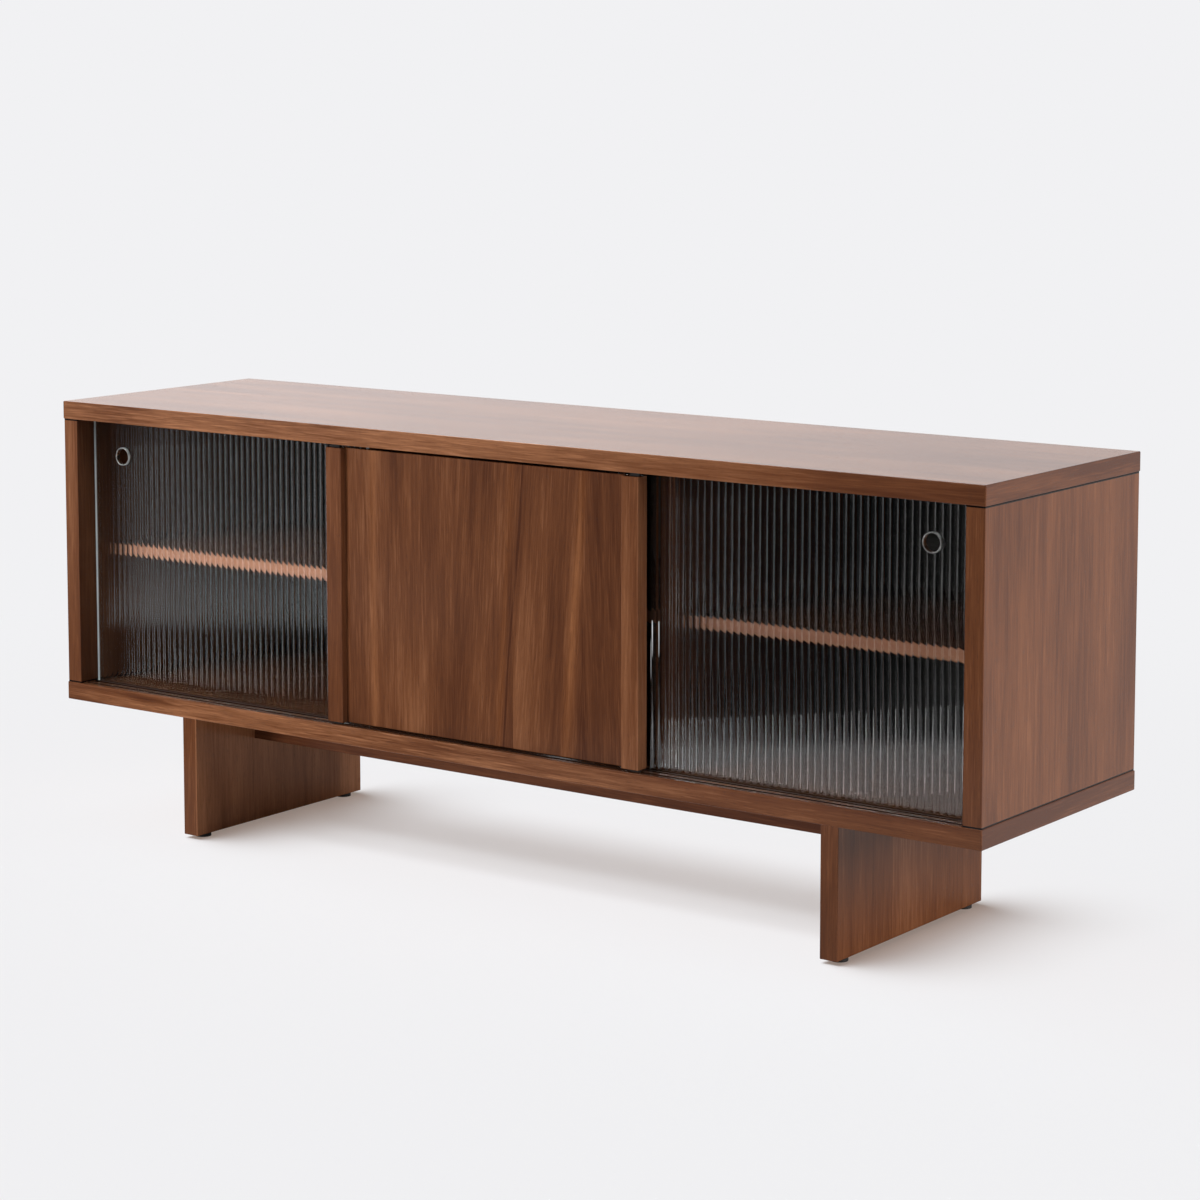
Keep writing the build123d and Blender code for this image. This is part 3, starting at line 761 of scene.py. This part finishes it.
class CABINET_OT_finger_rings(bpy.types.Operator):
    """Models the metal rings in the panes' finger holes"""

    bl_idname = "cabinet.finger_rings"
    bl_label = "Model Finger Rings"

    ring_sides = 96
    rim_round = 0.0003
    rim_facets = 3
    sharp = math.radians(40.0)

    def execute(self, context):
        look = context.scene.cabinet_fittings
        metal = ring_metal(look)
        for hand in HANDS:
            body = f"{hand}_glass_door"
            low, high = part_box(f"{hand}_finger_ring")
            centre = (low + high) / 2
            front = low.y - centre.y
            back = high.y - centre.y
            rim = (high.x - low.x) / 2
            sleeve = look.ring_bore + look.ring_wall
            step = front + look.ring_flange
            profile = [
                (look.ring_bore, back), (look.ring_bore, front), (rim, front),
                (rim, step), (sleeve, step), (sleeve, back),
            ]
            ring = self.rounded_ring(profile, centre, low.y)
            add_piece(f"{hand}_ring", ring, [metal], body, f"{hand}_finger_ring")
            low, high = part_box(f"{hand}_ring_backing")
            centre = (low + high) / 2
            half = (high.y - low.y) / 2
            inner = sleeve + CABINET_OT_glass_doors.hole_play / 2
            rim = (high.x - low.x) / 2
            profile = [(inner, half), (inner, -half), (rim, -half), (rim, half)]
            backing = self.rounded_ring(profile, centre, high.y)
            add_piece(f"{hand}_rear_ring", backing, [metal], body, f"{hand}_ring_backing")
        return {"FINISHED"}

    def rounded_ring(self, profile, centre, face_y):
        """A ring whose edges on the face at face_y are rounded."""
        bm = spun(profile, centre, (0, 1, 0), self.ring_sides)
        rims = [
            edge for edge in bm.edges
            if all(abs(vert.co.y - face_y) < MERGE_DISTANCE for vert in edge.verts)
            and self.runs_round(edge, centre)
        ]
        bmesh.ops.bevel(
            bm, geom=rims, offset=self.rim_round, segments=self.rim_facets, profile=0.5,
            affect="EDGES", material=-1,
        )
        shade_by_angle(bm, self.sharp)
        return bm

    def runs_round(self, edge, centre):
        """Whether both ends of an edge are equally far from the centre."""
        first, second = ((vert.co - centre).length for vert in edge.verts)
        return abs(first - second) < MERGE_DISTANCE


class CABINET_OT_back(bpy.types.Operator):
    """Finishes the back panel"""

    bl_idname = "cabinet.back"
    bl_label = "Finish Back Panel"

    def execute(self, context):
        dress(nearly_black_board(context.scene.cabinet_fittings), "back_panel")
        return {"FINISHED"}


class CABINET_OT_tracks(bpy.types.Operator):
    """Finishes the tracks and what runs in them"""

    bl_idname = "cabinet.tracks"
    bl_label = "Finish Tracks"

    def execute(self, context):
        look = context.scene.cabinet_fittings
        for name, tint, nodes in (
            # Painted shade: the upper tracks get the darker copy of the plastic
            ("upper_track_plastic", look.upper_track, UPPER_TRACKS),
            ("lower_track_plastic", look.lower_track, LOWER_TRACKS),
            ("runner_nylon", look.nylon, RUNNERS),
        ):
            dress(moulded_plastic(name, tint, "X"), *nodes)
        return {"FINISHED"}


class CABINET_OT_feet(bpy.types.Operator):
    """Finishes the nailed foot discs"""

    bl_idname = "cabinet.feet"
    bl_label = "Finish Feet"

    def execute(self, context):
        dress(moulded_plastic("foot_nylon", context.scene.cabinet_fittings.nylon, "Z"), "foot_glides")
        return {"FINISHED"}


class CABINET_OT_fixings(bpy.types.Operator):
    """Finishes screws, bolts, pins, inserts and dowels"""

    bl_idname = "cabinet.fixings"
    bl_label = "Finish Fixings"

    def execute(self, context):
        look = context.scene.cabinet_fittings
        for name, colour, roughness, nodes in METAL_FIXINGS:
            dress(plated_metal(name, getattr(look, colour), roughness), *nodes)
        dress(bare_beech(look), *DOWELS)
        return {"FINISHED"}


def clear_glass(look):
    """Clear glass with faint handling marks, which lets the lamps light what is behind it."""
    material, graph = new_material("fluted_clear_glass")
    marks = graph.noise(graph.place(), scale=38.0, detail=3.0).rise(*MARK_RANGE)
    shine = {
        "Base Color": graph.mix(marks, look.tint, shaded(look.tint, MARK_SHADE)),
        "Roughness": GLASS_ROUGHNESS + marks * MARK_ROUGHNESS,
        "IOR": GLASS_IOR,
        "Transmission Weight": 1.0,
    }
    glass = graph.add("BsdfPrincipled", {}, shine)
    clear = graph.add("BsdfTransparent", {}, {"Color": look.tint})
    lamp_ray = graph.add("LightPath", output="Is Shadow Ray")
    graph.show(graph.add("MixShader", {}, {0: lamp_ray, 1: glass, 2: clear}))
    return material


def marked_finish(name, tint, marks, roughness, stretch=EVEN, **sockets):
    """A plain finish whose fine marks shade its colour and roughen it."""
    scale, detail, share, shade, change = marks
    material, graph = new_material(name)
    pattern = graph.noise(graph.place(stretch), scale, detail)
    shine = {
        "Base Color": graph.mix(pattern * share, tint, shaded(tint, shade)),
        "Roughness": roughness + pattern * change,
        **sockets,
    }
    graph.show(graph.add("BsdfPrincipled", {}, shine))
    return material


def ground_glass(look):
    """The dull, pale face of a ground glass edge."""
    return marked_finish("ground_glass_edge", look.ground_edge, GRIT, GROUND_ROUGHNESS, IOR=GLASS_IOR)


def ring_metal(look):
    """Satin metal with fine turning marks."""
    turned = along_grain("Y", stretch=0.2)
    return marked_finish("satin_ring_metal", look.ring_metal, TURNING, RING_ROUGHNESS, turned, Metallic=1.0)


def plated_metal(name, tint, roughness):
    """Plain metal with a slightly clouded surface."""
    return marked_finish(name, tint, CLOUDING, roughness, Metallic=1.0)


def moulded_plastic(name, tint, grain):
    """Dark plastic with faint lines along the way that it was drawn or moulded."""
    material, graph = new_material(name)
    lines = graph.noise(graph.place(along_grain(grain, stretch=60.0)), scale=900.0)
    cloud = graph.noise(graph.place(), scale=60.0, detail=3.0)
    relief = {"Strength": PLASTIC_RELIEF, "Distance": PLASTIC_LINE_DEPTH, "Height": lines}
    shine = {
        "Base Color": graph.mix(cloud, *(shaded(tint, shade) for shade in PLASTIC_SHADES)),
        "Roughness": PLASTIC_ROUGHNESS + lines * LINE_ROUGHNESS,
        "IOR": DULL_IOR,
        "Normal": graph.add("Bump", {}, relief),
    }
    graph.show(graph.add("BsdfPrincipled", {}, shine))
    return material


def nearly_black_board(look):
    """A plain board, nearly black."""
    material, graph = new_material("stained_back_board")
    fibres = graph.noise(graph.place(along_grain("X", stretch=20.0)), scale=260.0, detail=3.0)
    cloud = graph.noise(graph.place(), scale=9.0, detail=3.0)
    stain = (fibres * BACK_FIBRE_SHARE + cloud * (1.0 - BACK_FIBRE_SHARE)).rise(*BACK_RANGE)
    relief = {"Strength": BACK_RELIEF, "Distance": BACK_FIBRE_DEPTH, "Height": fibres}
    shine = {
        "Base Color": graph.mix(stain, *(shaded(look.back_board, shade) for shade in BACK_SHADES)),
        "Roughness": BACK_ROUGHNESS + fibres * BACK_FIBRE_ROUGHNESS,
        "IOR": DULL_IOR,
        "Normal": graph.add("Bump", {}, relief),
    }
    graph.show(graph.add("BsdfPrincipled", {}, shine))
    return material


def bare_beech(look):
    """Unfinished beech with short flecks."""
    material, graph = new_material("bare_beech")
    flecks = graph.noise(graph.place(along_grain("Z", stretch=8.0)), scale=700.0)
    colour = graph.mix(flecks, shaded(look.beech, FLECK_SHADE), look.beech)
    roughness = BEECH_ROUGHNESS + flecks * FLECK_ROUGHNESS
    graph.show(graph.add("BsdfPrincipled", {}, {"Base Color": colour, "Roughness": roughness}))
    return material


class CABINET_OT_stage(bpy.types.Operator):
    """Sets up the pale floor, the soft light and the camera"""

    bl_idname = "cabinet.stage"
    bl_label = "Set Up Stage"

    floor_half = 40.0
    floor_light_direction = (-0.433, -0.25, 0.866)
    floor_light_spread = math.radians(56.0)
    floor_shade = ("left_leg", "right_leg", "front_stretcher", "rear_stretcher")
    # The floor's shadow is warm: its own glow is warmer than the light that the cabinet shades
    shadow_warm = (1.32, 1.06, 0.91)
    floor_bounce = (0.62, 0.60, 0.57)
    floor_fade = (1.0, 2.2)
    dome_spread = math.pi
    # Softboxes round the cabinet: place and width
    softboxes = {
        "key": ((-2.0, -4.3, 1.0), 1.2),
        "side": ((4.2, 0.3, 1.9), 2.4),
        "top": ((-1.2, 0.3, 2.9), 1.8),
        "sheen": ((-3.2, -3.6, 0.75), 1.0),
    }
    not_mirrored = ("dome", "key")
    strip_places = {"left": (-1.27, -0.51), "right": (-0.24, -0.58)}
    strip_width = 0.2
    strip_height = 0.45
    low_strip_height = 0.13
    low_strip_ahead = 0.02
    low_strip_hand = "right"
    aim = (0.0, 0.0, 0.35)
    # Edges on the floor that mirrors see: normal's X and Y, distance from the origin, and half the blur
    paper_edge = (-0.675, -0.737, 0.98, 0.06)
    pool_near_edge = (-0.367, -0.930, 1.94, 0.06)
    pool_side_edge = (-0.559, 0.829, -0.806, 0.1)
    flat_end = (-1.0, 0.0, 1.3, 0.1)
    flat_edge = (-0.348, 0.938, -0.251, 0.1)
    near_edge = (0.0, -1.0, 0.68, 0.12)
    reflector_near = (1.0, 0.0, 0.75, 0.2)
    reflector_front = (0.0, 1.0, 0.0, 0.2)
    # Where the pool of light starts, and how it dims with distance from there: from, to, and how much
    pool_corner = (-1.04, -1.68, 0.0)
    pool_fades = ((0.6, 1.1, 0.6), (3.2, 4.4, 0.2))
    near_dim = 0.45
    reflector_colour = (1.06, 1.06, 1.06)
    dark_floor = (0.012, 0.012, 0.013)
    # What mirrors see above the floor: the wall behind the cabinet, at its left and right, where along X
    # it changes, the dark in front, and where along Y that begins
    wall_left = (1.17, 1.17, 1.19)
    wall_right = (0.91, 0.91, 0.928)
    wall_turn = (-0.72, -0.42)
    dark_front = (0.05, 0.05, 0.052)
    dark_turn = (-0.25, 0.25)
    film_width = 36.0

    def execute(self, context):
        look = context.scene.cabinet_stage
        floor = self.lay_floor(look)
        self.light_world(context.scene, look)
        lit = self.linked("floor_only", [floor], "INCLUDE")
        unlit = self.linked("all_but_floor", [floor], "EXCLUDE")
        shade = self.linked("floor_shade", [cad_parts[node] for node in self.floor_shade], "INCLUDE")
        floor_light = self.hang_sun(
            "floor_light", look.floor_light, self.floor_light_direction, self.floor_light_spread
        )
        floor_light.light_linking.receiver_collection = lit
        floor_light.light_linking.blocker_collection = shade
        lamps = {"dome": self.hang_sun("dome", look.dome, (0.0, 0.0, 1.0), self.dome_spread)}
        for name, (place, width) in self.softboxes.items():
            lamps[name] = self.stand_softbox(name, getattr(look, name), place, self.aim, width)
        for name, lamp in lamps.items():
            lamp.light_linking.receiver_collection = unlit
            lamp.visible_glossy = name not in self.not_mirrored
        for hand in HANDS:
            self.light_pane(look, hand)
        self.stand_camera(context.scene, look)
        context.scene.view_settings.view_transform = "Standard"
        return {"FINISHED"}

    def light_pane(self, look, hand):
        """Stands strip lights on the floor, which only one pane and its ring reflect."""
        glass = [bpy.data.objects[f"{hand}_fluted_pane"], bpy.data.objects[f"{hand}_ring"]]
        receivers = self.linked(f"{hand}_glass_only", glass, "INCLUDE")
        low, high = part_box(f"{hand}_glass_pane")
        strips = [(f"{hand}_strip", look.strip, self.strip_height, 0.0)]
        if hand == self.low_strip_hand:
            low_strip = (f"{hand}_low_strip", look.low_strip, self.low_strip_height, self.low_strip_ahead)
            strips.append(low_strip)
        for name, power, height, ahead in strips:
            place = Vector((*self.strip_places[hand], height / 2))
            aim = Vector(((low.x + high.x) / 2, low.y, height / 2))
            place += (aim - place).normalized() * ahead
            strip = self.stand_softbox(name, power, place, aim, self.strip_width, height)
            strip.light_linking.receiver_collection = receivers

    def linked(self, name, objects, state):
        """A collection that lets a lamp reach only these objects, or all but these."""
        collection = bpy.data.collections.new(name)
        for item in objects:
            collection.objects.link(item)
        for link in collection.collection_objects:
            link.light_linking.link_state = state
        return collection

    def lay_floor(self, look):
        """A wide floor, which isn't part of the cabinet."""
        bm = bmesh.new()
        bmesh.ops.create_grid(bm, x_segments=1, y_segments=1, size=self.floor_half)
        mesh = bpy.data.meshes.new("floor")
        bm.to_mesh(mesh)
        bm.free()
        mesh.materials.append(self.floor_paper(look))
        floor = bpy.data.objects.new("floor", mesh)
        bpy.context.scene.collection.objects.link(floor)
        return floor

    def floor_paper(self, look):
        """White paper under the cabinet.

        Mirrors see where it ends and the light that lies at its left, and the camera sees plain paper.
        """
        material, graph = new_material("floor_paper")
        place = graph.add("TexCoord", output="Object")

        def past(edge):
            """1 on the far side of an edge, otherwise 0."""
            x, y, distance, blur = edge
            inputs = {0: place, 1: (x, y, 0.0)}
            reach = graph.add("VectorMath", {"operation": "DOT_PRODUCT"}, inputs, output="Value")
            return reach.rise(distance - blur, distance + blur)

        mirror = graph.add("LightPath", output="Is Glossy Ray")
        bounce = mirror.beside("Is Diffuse Ray")
        camera = mirror.beside("Is Camera Ray")
        paper = 1.0 - past(self.paper_edge)
        inputs = {0: place, 1: self.pool_corner}
        away = graph.add("VectorMath", {"operation": "DISTANCE"}, inputs, output="Value")
        pool = past(self.pool_near_edge) * past(self.pool_side_edge)
        fade = 1.0
        for start, end, loss in self.pool_fades:
            fade = fade - away.rise(start, end) * loss
        pool = pool * fade
        bright = pool.either(past(self.flat_end) * past(self.flat_edge))
        near = 1.0 - past(self.near_edge)
        seen = graph.mix(mirror * near * self.near_dim * (1.0 - bright), look.paper, BLACK)
        seen = graph.mix(mirror * pool, seen, WHITE)
        colour = graph.mix(mirror * (1.0 - paper.either(bright)), seen, self.dark_floor)
        colour = graph.mix(bounce, colour, self.floor_bounce)
        glow_share = 1.0 - look.shadow
        cool = tuple((1.0 - glow_share * warm) / look.shadow for warm in self.shadow_warm)
        colour = graph.mix(camera, colour, tuple(a * b for a, b in zip(cool, look.paper)))
        matt = graph.add("BsdfDiffuse", {}, {"Color": colour})
        warm = tuple(a * b for a, b in zip(self.shadow_warm, look.background))
        glow = graph.add("Emission", {}, {"Color": warm, "Strength": 1.0})
        floor = graph.add("MixShader", {}, {0: camera * glow_share, 1: matt, 2: glow})
        reflector = graph.add("Emission", {}, {"Color": self.reflector_colour, "Strength": 1.0})
        beside = mirror * past(self.reflector_near) * past(self.reflector_front)
        floor = graph.add("MixShader", {}, {0: beside, 1: floor, 2: reflector})
        backdrop = graph.add("Emission", {}, {"Color": look.background, "Strength": 1.0})
        distance = graph.add("VectorMath", {"operation": "LENGTH"}, {0: place}, output="Value")
        beyond = distance.rise(*self.floor_fade)
        graph.show(graph.add("MixShader", {}, {0: camera * beyond, 1: floor, 2: backdrop}))
        return material

    def light_world(self, scene, look):
        """Pale for the camera and glass, a white wall and a dark front for mirrors, black for the rest."""
        world = bpy.data.worlds.new("studio")
        world.use_nodes = True
        scene.world = world
        graph = Graph(world.node_tree)
        toward = graph.add("TexCoord", output="Generated")
        parts = graph.add("SeparateXYZ", {}, {0: toward}, output="Y")
        mirror = graph.add("LightPath", output="Is Glossy Ray")
        seen = mirror.beside("Is Camera Ray").either(mirror.beside("Is Transmission Ray"))
        wall = graph.mix(parts.beside("X").rise(*self.wall_turn), self.wall_left, self.wall_right)
        studio = graph.mix(parts.rise(*self.dark_turn), self.dark_front, wall)
        colour = graph.mix(mirror, BLACK, studio)
        colour = graph.mix(seen, colour, look.background)
        graph.show(graph.add("Background", {}, {"Color": colour, "Strength": 1.0}), "OutputWorld")

    def hang_sun(self, name, strength, direction, spread):
        """A wide, even light from far away."""
        lamp = bpy.data.lights.new(name, "SUN")
        lamp.energy = strength
        lamp.angle = spread
        sun = bpy.data.objects.new(name, lamp)
        sun.rotation_euler = Vector(direction).to_track_quat("Z", "Y").to_euler()
        bpy.context.scene.collection.objects.link(sun)
        return sun

    def stand_softbox(self, name, power, place, aim, width, height=None):
        """A softbox turned to its aim, square unless it has a height."""
        lamp = bpy.data.lights.new(name, "AREA")
        lamp.energy = power
        lamp.shape = "RECTANGLE"
        lamp.size = width
        lamp.size_y = height or width
        softbox = bpy.data.objects.new(name, lamp)
        softbox.location = place
        softbox.rotation_euler = (Vector(place) - Vector(aim)).to_track_quat("Z", "Y").to_euler()
        softbox.visible_camera = False
        bpy.context.scene.collection.objects.link(softbox)
        return softbox

    def stand_camera(self, scene, look):
        """The camera at the photograph's viewing angle."""
        lens = bpy.data.cameras.new("camera")
        lens.sensor_width = self.film_width
        lens.lens = look.lens
        lens.shift_y = look.shift
        camera = bpy.data.objects.new("camera", lens)
        camera.location = look.eye
        camera.rotation_euler = (math.pi / 2 - look.pitch, 0.0, look.turn)
        scene.collection.objects.link(camera)
        scene.camera = camera


class CABINET_PT_panel(bpy.types.Panel):
    """Lists the cabinet's settings and the operators that finish it"""

    bl_idname = "CABINET_PT_panel"
    bl_label = "Media Cabinet"
    bl_space_type = "VIEW_3D"
    bl_region_type = "UI"
    bl_category = "Cabinet"

    def draw(self, context):
        """Draws a button for each operator and a box for each group of settings."""
        for operator in OPERATORS:
            self.layout.operator(operator.bl_idname)
        for name in SETTINGS:
            group = getattr(context.scene, name)
            box = self.layout.box()
            for key in group.__annotations__:
                box.prop(group, key)


SETTINGS = {
    "cabinet_walnut": CABINET_PG_walnut,
    "cabinet_glass": CABINET_PG_glass,
    "cabinet_fittings": CABINET_PG_fittings,
    "cabinet_stage": CABINET_PG_stage,
}
OPERATORS = (
    CABINET_OT_boards,
    CABINET_OT_wooden_door,
    CABINET_OT_glass_doors,
    CABINET_OT_finger_rings,
    CABINET_OT_back,
    CABINET_OT_tracks,
    CABINET_OT_feet,
    CABINET_OT_fixings,
    CABINET_OT_stage,
)
CLASSES = (*SETTINGS.values(), *OPERATORS, CABINET_PT_panel)


def register():
    """Makes the classes and the scene's settings known."""
    for cls in CLASSES:
        bpy.utils.register_class(cls)
    for name, group in SETTINGS.items():
        setattr(bpy.types.Scene, name, PointerProperty(type=group))


def unregister():
    """Takes the settings and classes away again."""
    for name in SETTINGS:
        delattr(bpy.types.Scene, name)
    for cls in reversed(CLASSES):
        bpy.utils.unregister_class(cls)


def main():
    """Finishes the cabinet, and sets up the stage."""
    register()
    bpy.ops.cabinet.boards()
    bpy.ops.cabinet.wooden_door()
    bpy.ops.cabinet.glass_doors()
    bpy.ops.cabinet.finger_rings()
    bpy.ops.cabinet.back()
    bpy.ops.cabinet.tracks()
    bpy.ops.cabinet.feet()
    bpy.ops.cabinet.fixings()
    bpy.ops.cabinet.stage()


if __name__ == "__main__":
    main()
